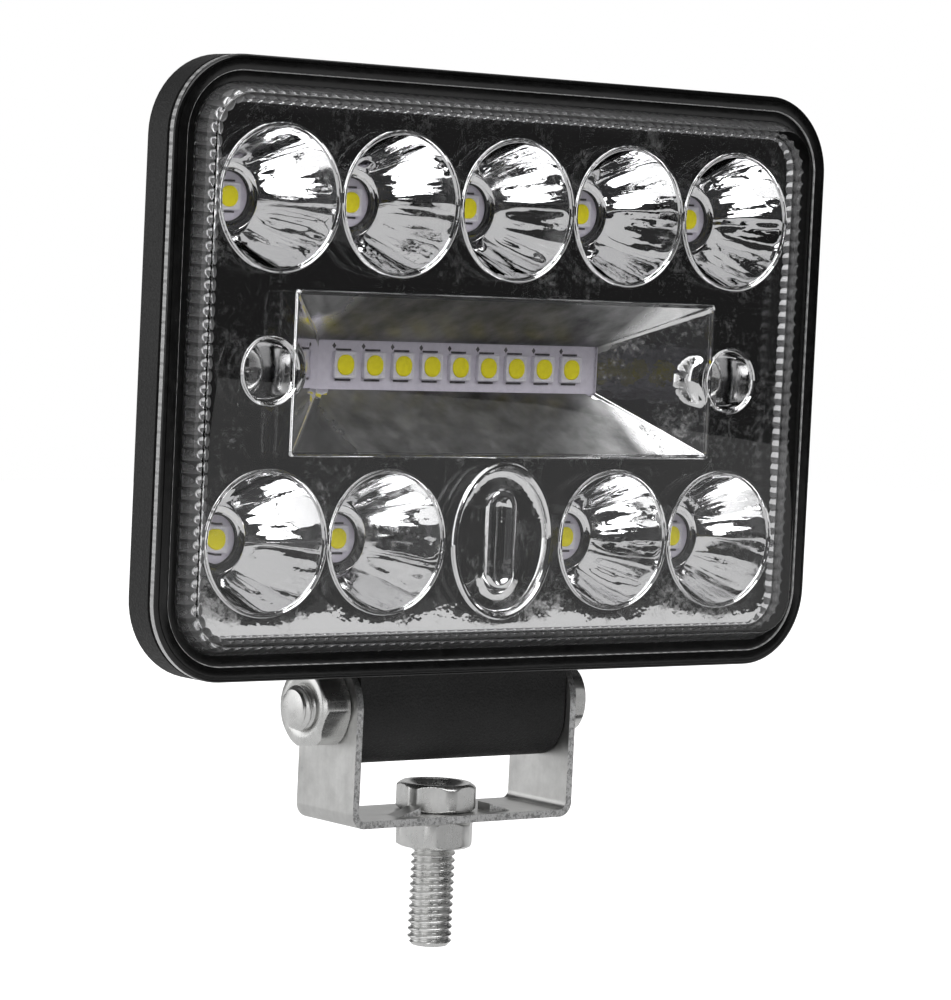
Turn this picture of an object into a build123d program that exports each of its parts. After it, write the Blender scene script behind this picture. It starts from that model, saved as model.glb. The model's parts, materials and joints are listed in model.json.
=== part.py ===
from build123d import *
import os
from math import cos, radians, sin, sqrt

# Square LED fog light on a U-shaped bracket. Millimetres, +Z up, +X to the lamp's left-hand
# side as seen from behind it, -Y the way the light shines. The origin is on the axis of the
# mounting stud, at the lower face of its nut, where the vehicle's panel seats.

# ---- driving dimensions: mounting hardware (all M6) ----
thread_radius = 3.0
core_radius = 2.5             # tapped bore of the mounting nut, and the bolt's shank above it
hole_radius = 3.2             # clearance holes in the bracket
hex_flats = 10.0
head_thick = 3.8              # head of the mounting bolt
pivot_head_thick = 3.0
mounting_nut_thick = 3.9
pivot_nut_thick = 4.5
stud_length = 13.7            # free thread below the mounting nut
tip_chamfer = 0.6
pivot_bolt_length = 43.5
hex_turn = -44.0              # how the mounting bolt and its nut are turned about Z, in degrees
pivot_turn = 8.0              # how the pivot nut is turned about X, in degrees

# ---- driving dimensions: bracket ----
strip_thick = 1.0
strip_width = 12.6
bracket_width = 37.3
bend_radius = 2.0             # outside of the two bends
pivot_height = 19.5

# ---- driving dimensions: lamp head ----
head_width = 110.0
head_height = 79.0
head_corner = 10.5
lamp_height = 64.2            # centre of the head above the origin
front_y = -11.65              # front face of the bezel

# Depths are measured to the rear from the front face of the bezel.
bezel_thick = 1.1
flange_front = 1.6            # where the housing's flange meets the bezel's skirt
flange_back = 6.4
plate_face = 0.6              # front face of the reflector plate
board_front = 11.35
board_thick = 1.6
pad_thick = 0.5
floor_thick = 2.55
fin_back = 24.6
lens_front = -2.5             # the lens stands proud of the bezel
lens_wall = 1.6

bolt_seat = mounting_nut_thick + strip_thick
arm_outside = bracket_width / 2
arm_inside = arm_outside - strip_thick
board_back = board_front + board_thick
floor_front = board_back + pad_thick
floor_back = floor_front + floor_thick

os.makedirs("parts", exist_ok=True)


def finish(builder, name, back=0):
    """Label a finished piece, set it back if asked, and write it to its own file."""
    piece = builder.part.moved(Location((0, back, 0)))
    piece.label = name
    export_step(piece, f"parts/{name}.step")


def head_plane(depth):
    """Plane across the head, centred on it and facing forward, at the given depth."""
    return Plane(origin=(0, front_y + depth, lamp_height), x_dir=(1, 0, 0), z_dir=(0, -1, 0))


def slab(width, height, corner, front, back, mode=Mode.ADD):
    """Rounded rectangular block centred on the head, between two depths."""
    with BuildSketch(head_plane(front)) as outline:
        RectangleRounded(width, height, corner)
    extrude(outline.sketch, amount=front - back, mode=mode)


def rods(spots, radius, front, back, mode=Mode.ADD):
    """Round rods or holes along the head's depth, at (x, height above centre) spots."""
    with BuildSketch(head_plane(front)) as outline:
        with Locations(*spots):
            Circle(radius)
    extrude(outline.sketch, amount=front - back, mode=mode)


def tiles(spots, width, height, corner, front, back, mode=Mode.ADD):
    """Rounded rectangular blocks along the head's depth, at (x, height above centre) spots."""
    with BuildSketch(head_plane(front)) as outline:
        with Locations(*spots):
            RectangleRounded(width, height, corner)
    extrude(outline.sketch, amount=front - back, mode=mode)


def turned(seat, outline_points, mode=Mode.ADD):
    """Solid of revolution about a seat's normal, from (radius, height) points."""
    side = Plane(origin=seat.origin, x_dir=seat.x_dir, z_dir=-seat.y_dir)
    with BuildSketch(side) as outline:
        with BuildLine():
            Polyline(*outline_points, close=True)
        make_face()
    revolve(outline.sketch, axis=Axis(seat.origin, seat.z_dir), mode=mode)


def hexagon(seat, thick):
    """Hexagonal block standing on a seat, its corners turned off at both ends."""
    corner = hex_flats / sqrt(3)
    face_radius = 0.475 * hex_flats
    bevel = (corner - face_radius) * 0.6
    with BuildSketch(seat) as outline:
        RegularPolygon(hex_flats / 2, 6, major_radius=False)
    extrude(outline.sketch, amount=thick)
    crown = [(0, 0), (face_radius, 0), (corner, bevel)]
    crown += [(corner, thick - bevel), (face_radius, thick), (0, thick)]
    turned(seat, crown, mode=Mode.INTERSECT)


# ================= fixed group: bracket and its fasteners =================

# Steel strip bent into a U, with round-topped arms. Two ramps pressed up from the plate
# stand beside the bolt's head and keep it from turning.
ramp_inner = 5.9
ramp_outer = 9.5
ramp_rise = 1.1
ramp_width = 2.6
ramp_y = -3.1
plate_level = mounting_nut_thick
arm_top = pivot_height + strip_width / 2
with BuildPart() as bracket:
    with BuildSketch(Plane.XZ):
        with BuildLine():
            FilletPolyline(
                (-arm_outside, arm_top), (-arm_outside, plate_level),
                (arm_outside, plate_level), (arm_outside, arm_top), radius=bend_radius)
            Line((arm_outside, arm_top), (arm_inside, arm_top))
            FilletPolyline(
                (arm_inside, arm_top), (arm_inside, bolt_seat),
                (-arm_inside, bolt_seat), (-arm_inside, arm_top), radius=bend_radius - strip_thick)
            Line((-arm_inside, arm_top), (-arm_outside, arm_top))
        make_face()
    extrude(amount=strip_width / 2, both=True)
    with BuildSketch(Plane.YZ):
        with Locations((0, pivot_height)):
            Circle(strip_width / 2)
        with Locations((0, (plate_level + pivot_height) / 2)):
            Rectangle(strip_width, pivot_height - plate_level)
    extrude(amount=arm_outside, both=True, mode=Mode.INTERSECT)
    with BuildSketch(Plane.YZ):
        with Locations((0, pivot_height)):
            Circle(hole_radius)
    extrude(amount=arm_outside, both=True, mode=Mode.SUBTRACT)
    with BuildSketch(Plane.XZ.offset(-ramp_y)):
        for side in (-1, 1):
            with BuildLine():
                Polyline(
                    (side * ramp_inner, bolt_seat), (side * ramp_outer, bolt_seat),
                    (side * ramp_inner, bolt_seat + ramp_rise), close=True)
            make_face()
    extrude(amount=ramp_width / 2, both=True)
    with BuildSketch(Plane.XY.offset(plate_level)):
        Circle(hole_radius)
    extrude(amount=strip_thick, mode=Mode.SUBTRACT)
finish(bracket, "bracket")

# Hex bolt with a dished head. Its threads are plain cylinders of the thread's outer radius.
mount_seat = Plane(origin=(0, 0, bolt_seat), z_dir=(0, 0, 1)).rotated((0, 0, hex_turn))
dish_rim = 3.9
dish_floor = 2.9
dish_depth = 0.9
with BuildPart() as mounting_bolt:
    hexagon(mount_seat, head_thick)
    dish = [(0, head_thick), (dish_rim, head_thick)]
    dish += [(dish_floor, head_thick - dish_depth), (0, head_thick - dish_depth)]
    turned(mount_seat, dish, mode=Mode.SUBTRACT)
    shank = [(0, 0.2), (core_radius, 0.2), (core_radius, -bolt_seat)]
    shank += [(thread_radius, -bolt_seat), (thread_radius, -bolt_seat - stud_length + tip_chamfer)]
    shank += [(thread_radius - tip_chamfer, -bolt_seat - stud_length)]
    shank += [(0, -bolt_seat - stud_length)]
    turned(mount_seat, shank)
finish(mounting_bolt, "mounting_bolt")

nut_seat = Plane(origin=(0, 0, 0), z_dir=(0, 0, 1)).rotated((0, 0, hex_turn + 30))
with BuildPart() as mounting_nut:
    hexagon(nut_seat, mounting_nut_thick)
    with BuildSketch(nut_seat):
        Circle(core_radius)
    extrude(amount=mounting_nut_thick, mode=Mode.SUBTRACT)
finish(mounting_nut, "mounting_nut")

# The pivot bolt runs along X through both arms and the lug of the housing.
pivot_seat = Plane(origin=(arm_outside, 0, pivot_height), x_dir=(0, 0, 1), z_dir=(1, 0, 0))
with BuildPart() as pivot_bolt:
    hexagon(pivot_seat, pivot_head_thick)
    shank = [(0, 0.2), (thread_radius, 0.2), (thread_radius, tip_chamfer - pivot_bolt_length)]
    shank += [(thread_radius - tip_chamfer, -pivot_bolt_length), (0, -pivot_bolt_length)]
    turned(pivot_seat, shank)
finish(pivot_bolt, "pivot_bolt")

turn = radians(90 - pivot_turn)
pivot_nut_seat = Plane(
    origin=(-arm_outside, 0, pivot_height), x_dir=(0, sin(turn), cos(turn)), z_dir=(-1, 0, 0))
with BuildPart() as pivot_nut:
    hexagon(pivot_nut_seat, pivot_nut_thick)
    with BuildSketch(pivot_nut_seat):
        Circle(thread_radius)
    extrude(amount=pivot_nut_thick, mode=Mode.SUBTRACT)
finish(pivot_nut, "pivot_nut")

# ================= tilting group: lamp head =================

# ---- layout of the optics, as (x, height above the head's centre) ----
cup_pitch = 19.165
row_height = 21.8
cup_rim_radius = 9.57
cup_radius = 9.1              # mouth of the bowl, inside its raised rim
neck_radius = 4.5
neck_depth = 10.0
cup_floor = 10.2              # these depths are from the face of the reflector plate
cup_hole_radius = 3.15
rim_rise = 0.35
shell = 1.0
top_row = [(column * cup_pitch, row_height) for column in (-2, -1, 0, 1, 2)]
bottom_row = [(column * cup_pitch, -row_height) for column in (-2, -1, 1, 2)]
cup_spots = top_row + bottom_row

trough_width = 69.8
trough_height = 20.4
trough_rise = -0.2
slot_width = 46.8
slot_height = 6.4
slot_rise = 0.8               # the LED slot sits a little above the head's centre
strip_pitch = 4.74
strip_spots = [(place * strip_pitch, slot_rise) for place in range(-4, 5)]

screw_x = 38.8
screw_spots = [(-screw_x, 0), (screw_x, 0)]
recess_radius = 4.15
recess_floor = 6.8            # also from the face of the plate
oval_width = 17.0
oval_height = 21.0
oval_centre = (0, -row_height)
cable_spot = (0, -24.0)
cable_hole_radius = 3.4
screw_radius = 1.5

# Black front frame: a flat face with a shallow step down to the window, and a skirt set in a
# little that reaches back to the housing.
window_width = 102.9
window_height = 72.3
window_corner = 6.4
edge_radius = 0.4
step_inset = 2.05             # outer edge to step
step_drop = 0.25
skirt_inset = 0.35
skirt_wall = 1.45
with BuildPart() as bezel:
    slab(head_width, head_height, head_corner, 0, bezel_thick)
    fillet(bezel.faces().sort_by(Axis.Y)[0].edges(), radius=edge_radius)
    slab(head_width - 2 * skirt_inset, head_height - 2 * skirt_inset,
         head_corner - skirt_inset, bezel_thick, flange_front)
    skirt_inside = 2 * (skirt_inset + skirt_wall)
    slab(head_width - skirt_inside, head_height - skirt_inside,
         head_corner - skirt_inside / 2, bezel_thick, flange_front, Mode.SUBTRACT)
    slab(head_width - 2 * step_inset, head_height - 2 * step_inset,
         head_corner - step_inset, 0, step_drop, Mode.SUBTRACT)
    slab(window_width, window_height, window_corner, 0, bezel_thick, Mode.SUBTRACT)
finish(bezel, "bezel")

# Clear cover: a tray with drafted walls that comes through the bezel's window, held by a
# flange behind the bezel.
lens_width = 102.6
lens_height = 72.0
lens_corner = 6.3
lens_draft = 1.1              # each side, over the part that stands proud
lens_inside_width = 98.8
lens_inside_height = 68.8
lens_inside_corner = 5.0
lens_flange_width = 106.0
lens_flange_height = 75.0
lens_flange_corner = 8.4
lens_flange_back = 2.9
with BuildPart() as lens:
    with BuildSketch(head_plane(0)):
        RectangleRounded(lens_width, lens_height, lens_corner)
    with BuildSketch(head_plane(lens_front)):
        RectangleRounded(lens_width - 2 * lens_draft, lens_height - 2 * lens_draft,
                         lens_corner - lens_draft)
    loft()
    fillet(lens.faces().sort_by(Axis.Y)[0].edges(), radius=0.5)
    slab(lens_width, lens_height, lens_corner, 0, bezel_thick)
    slab(lens_flange_width, lens_flange_height, lens_flange_corner, bezel_thick, lens_flange_back)
    slab(lens_inside_width, lens_inside_height, lens_inside_corner,
         lens_front + lens_wall, lens_flange_back, Mode.SUBTRACT)
finish(lens, "lens")

# Rubber ring between the lens flange and the housing.
seal_back = 3.9
with BuildPart() as lens_gasket:
    slab(105.4, 74.4, 8.1, lens_flange_back, seal_back)
    slab(100.2, 70.2, 5.7, lens_flange_back, seal_back, Mode.SUBTRACT)
finish(lens_gasket, "lens_gasket")

# Chromed reflector: a plate with nine bowls, a long trough for the middle row of LEDs, two
# screw recesses and an oval pad where the tenth bowl would be.
plate_width = 98.0
plate_height = 67.9
plate_corner = 4.6
plate_thick = 1.2
reflector_back = board_front - plate_face - 0.05
bowl_middle = 0.62            # how far down the bowl its middle point lies
bowl_swell = 0.4              # how far the bowl swells out from a straight cone


def bowl(grow, bottom, mode):
    """One bowl of the reflector, grown by a wall thickness, made at the head's centre."""
    middle_radius = cup_radius + (neck_radius - cup_radius) * bowl_middle + bowl_swell
    with BuildSketch(Plane(origin=(0, front_y, lamp_height), z_dir=(0, 0, 1))) as profile:
        with BuildLine():
            Line((0, 0), (cup_radius + grow, 0))
            ThreePointArc((cup_radius + grow, 0), (middle_radius + grow, neck_depth * bowl_middle),
                          (neck_radius + grow, neck_depth))
            Polyline((neck_radius + grow, neck_depth), (neck_radius + grow, bottom),
                     (0, bottom), (0, 0))
        make_face()
    revolve(profile.sketch, axis=Axis((0, front_y, lamp_height), (0, 1, 0)), mode=mode)


def trough(grow, bottom, mode):
    """The sloping trough of the reflector, grown by a wall thickness."""
    with BuildSketch(head_plane(0)) as mouth:
        with Locations((0, trough_rise)):
            Rectangle(trough_width + 2 * grow, trough_height + 2 * grow)
    with BuildSketch(head_plane(bottom)) as root:
        with Locations((0, slot_rise)):
            Rectangle(slot_width + 2 * grow, slot_height + 2 * grow)
    loft([mouth.sketch, root.sketch], mode=mode)


with BuildPart() as bowl_outside:
    bowl(shell, reflector_back, Mode.ADD)
with BuildPart() as bowl_inside:
    bowl(0, cup_floor, Mode.ADD)

bowl_places = [(x, 0, z) for x, z in cup_spots]
boss_radius = 5.0
boss_x = 36.7
with BuildPart() as reflector:
    slab(plate_width, plate_height, plate_corner, 0, plate_thick)
    rods(cup_spots, cup_rim_radius, -rim_rise, plate_thick)
    with Locations(*bowl_places):
        add(bowl_outside.part)
    trough(shell, reflector_back, Mode.ADD)
    trough(0, cup_floor, Mode.SUBTRACT)
    tiles([(0, slot_rise)], slot_width, slot_height, 0.4, cup_floor, reflector_back, Mode.SUBTRACT)
    rods([(-boss_x, 0), (boss_x, 0)], boss_radius, 1.0, reflector_back)
    rods(screw_spots, recess_radius + shell, 0, reflector_back)
    rods(screw_spots, recess_radius + 0.35, -rim_rise, 0)
    rods(screw_spots, recess_radius, -rim_rise, recess_floor, Mode.SUBTRACT)
    rods(screw_spots, screw_radius + 0.2, recess_floor, reflector_back, Mode.SUBTRACT)
    with Locations(*bowl_places):
        add(bowl_inside.part, mode=Mode.SUBTRACT)
    rods(cup_spots, cup_radius, -rim_rise, 0, Mode.SUBTRACT)
    rods(cup_spots, cup_hole_radius, cup_floor, reflector_back, Mode.SUBTRACT)
    with BuildSketch(head_plane(-rim_rise)):
        with Locations(oval_centre):
            Ellipse(oval_width / 2, oval_height / 2)
            Ellipse(oval_width / 2 - 0.8, oval_height / 2 - 0.8, mode=Mode.SUBTRACT)
    extrude(amount=-rim_rise)
    with BuildSketch(head_plane(0)):
        with Locations(oval_centre):
            Ellipse(oval_width / 2 - 0.8, oval_height / 2 - 0.8)
            SlotOverall(11.0, 4.2, rotation=90, mode=Mode.SUBTRACT)
    extrude(amount=-0.4, mode=Mode.SUBTRACT)
finish(reflector, "reflector", plate_face)

# White LED board on a soft pad that carries its heat to the housing floor.
holes_in_board = [(screw_spots, screw_radius + 0.2), ([cable_spot], cable_hole_radius)]
with BuildPart() as led_board:
    slab(91.6, 61.6, 3.5, board_front, board_back)
    for spots, radius in holes_in_board:
        rods(spots, radius, board_front, board_back, Mode.SUBTRACT)
finish(led_board, "led_board")

with BuildPart() as thermal_pad:
    slab(89, 59, 3, board_back, floor_front)
    for spots, radius in holes_in_board:
        rods(spots, radius + 0.3, board_back, floor_front, Mode.SUBTRACT)
finish(thermal_pad, "thermal_pad")

# LED packages: one behind each bowl, and nine in a line in the trough.
package_size = 3.5
package_thick = 0.65
phosphor_size = 2.7
phosphor_rise = 0.1
package_front = board_front - package_thick
for name, spots in (("spot_led", cup_spots), ("strip_led", strip_spots)):
    with BuildPart() as packages:
        tiles(spots, package_size, package_size, 0.3, package_front, board_front)
    finish(packages, f"{name}_packages")
    with BuildPart() as phosphors:
        tiles(spots, phosphor_size, phosphor_size, 0.9, package_front - phosphor_rise, package_front)
    finish(phosphors, f"{name}_phosphors")

# Driver parts on the front of the board, hidden behind the oval pad and between the bowls.
with BuildPart() as driver_chip:
    tiles([(-5.5, -14.5)], 5.0, 6.0, 0.3, board_front - 1.6, board_front)
finish(driver_chip, "driver_chip")

with BuildPart() as power_inductor:
    tiles([(5.5, -14.5)], 7.0, 7.0, 1.2, board_front - 4.0, board_front)
finish(power_inductor, "power_inductor")

with BuildPart() as smd_capacitors:
    tiles([(-7.5, -24.0), (7.5, -24.0)], 3.2, 1.6, 0.2, board_front - 1.3, board_front)
finish(smd_capacitors, "smd_capacitors")

with BuildPart() as smd_resistors:
    tiles([(-30.5, -12.0), (30.5, -12.0), (-30.5, 12.5), (30.5, 12.5)], 3.2, 1.6, 0.2,
          board_front - 0.6, board_front)
finish(smd_resistors, "smd_resistors")

with BuildPart() as protection_diode:
    tiles([(0, -29.1)], 4.6, 2.4, 0.3, board_front - 2.0, board_front)
finish(protection_diode, "protection_diode")

# Cast housing: flange, stepped box, cooling fins, cable boss and the pivot lug below.
box_width = 97.0
box_height = 67.6
box_corner = 8.0
box_draft = 1.5               # each side, from flange to floor
collar_width = 101.4          # closes the reflector's pocket, which is wider than the box
collar_height = 71.4
collar_corner = 7.5
collar_thick = 1.4
seat_corner = 8.4
fin_pitch = 7.7
fin_thick = 2.0
fin_count = 11
fin_length = 61.0
fin_corner = 6.0
fin_root = floor_back - 0.5
screw_depth = 18.6
lug_half_width = 17.5
lug_front = -5.3
lug_back = 6.4
lug_radius = (lug_back - lug_front) / 2
lug_y = (lug_back + lug_front) / 2
lug_drop = 7.75               # lowest point of the lug below the pivot axis
lug_bore_radius = thread_radius + 0.06
cable_boss_radius = 7.0
cable_boss_back = 21.5
with BuildPart() as rear_housing:
    slab(head_width, head_height, head_corner, flange_front, flange_back)
    fillet(rear_housing.faces().sort_by(Axis.Y)[-1].edges(), radius=0.8)
    slab(collar_width, collar_height, collar_corner, flange_back, flange_back + collar_thick)
    with BuildSketch(head_plane(flange_back)):
        RectangleRounded(box_width, box_height, box_corner)
    with BuildSketch(head_plane(floor_back)):
        RectangleRounded(box_width - 2 * box_draft, box_height - 2 * box_draft,
                         box_corner - box_draft)
    loft()
    for place in range(fin_count):
        fin_x = (place - (fin_count - 1) / 2) * fin_pitch
        with BuildSketch(Plane.YZ.offset(fin_x - fin_thick / 2)):
            with Locations((front_y + (fin_root + fin_back) / 2, lamp_height)):
                fin = Rectangle(fin_back - fin_root, fin_length)
            fillet(fin.vertices().group_by(Axis.X)[-1], radius=fin_corner)
        extrude(amount=fin_thick)
    fin_tips = rear_housing.edges().group_by(Axis.Y)[-1]
    fillet(fin_tips, radius=0.6)
    rods(screw_spots, 4.2, floor_back - 0.5, 20.5)
    rods([cable_spot], cable_boss_radius, floor_back - 0.5, cable_boss_back)
    rods([cable_spot], cable_boss_radius + 1.5, cable_boss_back, fin_back, Mode.SUBTRACT)
    with BuildSketch(Plane.YZ.offset(-lug_half_width)):
        with BuildLine():
            lug_centre = pivot_height - lug_drop + lug_radius
            lug_top = lamp_height - box_height / 2 + 1.5
            Polyline((lug_back, lug_centre), (lug_back, lug_top), (lug_front, lug_top),
                     (lug_front, lug_centre))
            ThreePointArc((lug_front, lug_centre), (lug_y, pivot_height - lug_drop),
                          (lug_back, lug_centre))
        make_face()
    extrude(amount=2 * lug_half_width)
    slab(lens_flange_width, lens_flange_height, seat_corner, flange_front, seal_back, Mode.SUBTRACT)
    slab(98.8, 68.8, 5.0, seal_back, flange_back, Mode.SUBTRACT)
    slab(92.6, 62.6, 4.2, flange_back, floor_front, Mode.SUBTRACT)
    rods(screw_spots, screw_radius, floor_front, screw_depth, Mode.SUBTRACT)
    rods([cable_spot], 5.0, floor_front, cable_boss_back, Mode.SUBTRACT)
    with BuildSketch(Plane.YZ.offset(-lug_half_width)):
        with Locations((0, pivot_height)):
            Circle(lug_bore_radius)
    extrude(amount=2 * lug_half_width, mode=Mode.SUBTRACT)
finish(rear_housing, "rear_housing")

# Rubber bush in the cable boss, with a flange inside and a collar outside.
grommet_back = 26.0
lead_radius = 2.6
with BuildPart() as cable_grommet:
    rods([cable_spot], 5.0, floor_front, cable_boss_back)
    rods([cable_spot], 6.2, cable_boss_back, grommet_back)
    fillet(cable_grommet.faces().sort_by(Axis.Y)[-1].edges(), radius=1.2)
    rods([cable_spot], lead_radius, floor_front, grommet_back, Mode.SUBTRACT)
finish(cable_grommet, "cable_grommet")

# Two cross-recessed screws hold the reflector and the board to the housing.
screw_head_thick = 2.0
screw_seat = plate_face + recess_floor
with BuildPart() as reflector_screws:
    rods(screw_spots, 3.0, screw_seat - screw_head_thick, screw_seat)
    fillet(reflector_screws.faces().sort_by(Axis.Y)[0:2].edges(), radius=0.9)
    rods(screw_spots, screw_radius, screw_seat, screw_depth - 0.6)
    tiles(screw_spots, 3.2, 0.7, 0.2, screw_seat - screw_head_thick, screw_seat - 0.8,
          Mode.SUBTRACT)
    tiles(screw_spots, 0.7, 3.2, 0.2, screw_seat - screw_head_thick, screw_seat - 0.8,
          Mode.SUBTRACT)
finish(reflector_screws, "reflector_screws")
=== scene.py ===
import json
from math import ceil, cos, hypot, pi, radians, sin, sqrt, tau

import bmesh
import bpy
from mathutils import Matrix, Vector, geometry, noise


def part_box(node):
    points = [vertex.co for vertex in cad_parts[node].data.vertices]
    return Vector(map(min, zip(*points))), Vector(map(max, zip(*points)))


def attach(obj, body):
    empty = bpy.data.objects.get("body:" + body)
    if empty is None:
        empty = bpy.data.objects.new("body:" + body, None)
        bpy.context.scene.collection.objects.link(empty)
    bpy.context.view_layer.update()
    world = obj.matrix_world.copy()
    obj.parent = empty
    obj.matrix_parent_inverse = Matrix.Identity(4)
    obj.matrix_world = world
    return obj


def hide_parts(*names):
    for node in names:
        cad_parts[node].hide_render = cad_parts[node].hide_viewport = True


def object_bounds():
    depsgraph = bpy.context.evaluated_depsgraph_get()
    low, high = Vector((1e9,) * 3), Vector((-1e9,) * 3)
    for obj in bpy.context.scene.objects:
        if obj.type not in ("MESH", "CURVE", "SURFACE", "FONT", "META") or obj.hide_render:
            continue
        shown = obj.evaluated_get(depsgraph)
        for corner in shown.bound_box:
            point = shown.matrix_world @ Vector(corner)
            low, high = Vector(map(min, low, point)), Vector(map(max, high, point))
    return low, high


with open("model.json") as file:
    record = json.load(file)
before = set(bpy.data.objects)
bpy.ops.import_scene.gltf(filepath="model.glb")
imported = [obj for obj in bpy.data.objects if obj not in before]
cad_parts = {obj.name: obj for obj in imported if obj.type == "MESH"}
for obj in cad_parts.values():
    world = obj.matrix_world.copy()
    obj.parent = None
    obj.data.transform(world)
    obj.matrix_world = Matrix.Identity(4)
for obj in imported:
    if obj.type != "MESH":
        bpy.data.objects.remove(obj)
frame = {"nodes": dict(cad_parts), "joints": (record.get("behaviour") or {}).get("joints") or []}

# Fog light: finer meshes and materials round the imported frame. Sizes are in millimetres, and a
# point becomes metres in head_point() or along_axis(). The studio is in metres.
cad_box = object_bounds()
MM = 0.001
HEAD = "lamp_head"
MOUNT = "bracket_group"

# ---------------------------------------------------------------- sizes from the frame
bezel_low, bezel_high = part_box("bezel")
FRONT_Y = bezel_low.y / MM                       # front face of the bezel
LAMP_Z = (bezel_low.z + bezel_high.z) / 2 / MM   # centre of the head
HALF_W = bezel_high.x / MM
HALF_H = (bezel_high.z - bezel_low.z) / 2 / MM
BEZEL_THICK = (bezel_high.y - bezel_low.y) / MM
PIVOT_Z = frame["joints"][0]["pos_m"][2] / MM

BOARD_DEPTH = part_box("led_board")[0].y / MM - FRONT_Y
LENS_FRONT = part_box("lens")[0].y / MM - FRONT_Y  # negative, because it stands out of the bezel
RIM_RISE = 0.35                                  # rims of the bowls, in front of the plate
PLATE_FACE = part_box("reflector")[0].y / MM - FRONT_Y + RIM_RISE

PACKAGE = 3.5
spot_low, spot_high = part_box("spot_led_packages")
CUP_PITCH = ((spot_high.x - spot_low.x) / MM - PACKAGE) / 4
ROW_HEIGHT = ((spot_high.z - spot_low.z) / MM - PACKAGE) / 2
strip_low, strip_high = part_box("strip_led_packages")
STRIP_PITCH = ((strip_high.x - strip_low.x) / MM - PACKAGE) / 8
SLOT_RISE = (strip_low.z + strip_high.z) / 2 / MM - LAMP_Z
PACKAGE_DEPTH = strip_low.y / MM - FRONT_Y

TOP_ROW = [(step * CUP_PITCH, ROW_HEIGHT) for step in (-2, -1, 0, 1, 2)]
BOTTOM_ROW = [(step * CUP_PITCH, -ROW_HEIGHT) for step in (-2, -1, 1, 2)]
CUPS = TOP_ROW + BOTTOM_ROW
STRIP = [(step * STRIP_PITCH, SLOT_RISE) for step in range(-4, 5)]
SCREW_X = 38.8
SCREWS = [(-SCREW_X, 0.0), (SCREW_X, 0.0)]


def head_point(x, depth, z):
    """Point on the head: x and z from its centre, depth to the rear of its front face."""
    return (x * MM, (FRONT_Y + depth) * MM, (LAMP_Z + z) * MM)


# ---------------------------------------------------------------- camera, lights, cards
LAMP_MIDDLE = Vector((0.0, 0.0, 0.06))


def make_camera():
    """Long lens, from the left of the lamp's front and a little above its middle."""
    camera = bpy.data.objects.new("camera", bpy.data.cameras.new("camera"))
    bpy.context.collection.objects.link(camera)
    camera.location = (-0.33867, -0.43032, 0.08099)
    camera.rotation_euler = (radians(86.447), radians(-2.698), radians(-38.399))
    camera.data.sensor_width = 36.0
    camera.data.lens = 146.69
    camera.data.clip_start = 0.01
    bpy.context.scene.camera = camera


def softbox(name, place, width, height, power):
    """Rectangular area light that faces the lamp."""
    light = bpy.data.lights.new(name, "AREA")
    light.shape = "RECTANGLE"
    light.size = width
    light.size_y = height
    light.energy = power
    lamp = bpy.data.objects.new(name, light)
    lamp.location = place
    lamp.rotation_euler = (LAMP_MIDDLE - Vector(place)).to_track_quat("-Z", "Y").to_euler()
    bpy.context.collection.objects.link(lamp)


def card(name, place, target, width, height, glow):
    """Card of one even brightness, seen only in reflections and through the clear cover."""
    mesh = bpy.data.meshes.new(name)
    corners = [(-width / 2, -height / 2, 0), (width / 2, -height / 2, 0),
               (width / 2, height / 2, 0), (-width / 2, height / 2, 0)]
    mesh.from_pydata(corners, [], [(0, 1, 2, 3)])
    flag = bpy.data.objects.new(name, mesh)
    flag.location = place
    flag.rotation_euler = (Vector(target) - Vector(place)).to_track_quat("Z", "Y").to_euler()
    surface = plain_material(name, (0.0, 0.0, 0.0), roughness=0.9)
    shader = surface.node_tree.nodes["Principled BSDF"]
    shader.inputs["Specular IOR Level"].default_value = 0.0
    shader.inputs["Emission Color"].default_value = (1.0, 1.0, 1.0, 1.0)
    shader.inputs["Emission Strength"].default_value = glow
    mesh.materials.append(surface)
    bpy.context.collection.objects.link(flag)
    flag.visible_camera = False
    flag.visible_diffuse = False
    flag.visible_shadow = False


# ---------------------------------------------------------------- materials
def plain_material(name, colour=(0.8, 0.8, 0.8), roughness=0.5, metallic=0.0):
    """A new material with one Principled shader. An input that nodes feed needs no value here."""
    surface = bpy.data.materials.new(name)
    surface.use_nodes = True
    shader = surface.node_tree.nodes["Principled BSDF"]
    shader.inputs["Base Color"].default_value = (*colour, 1.0)
    shader.inputs["Roughness"].default_value = roughness
    shader.inputs["Metallic"].default_value = metallic
    return surface


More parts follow.
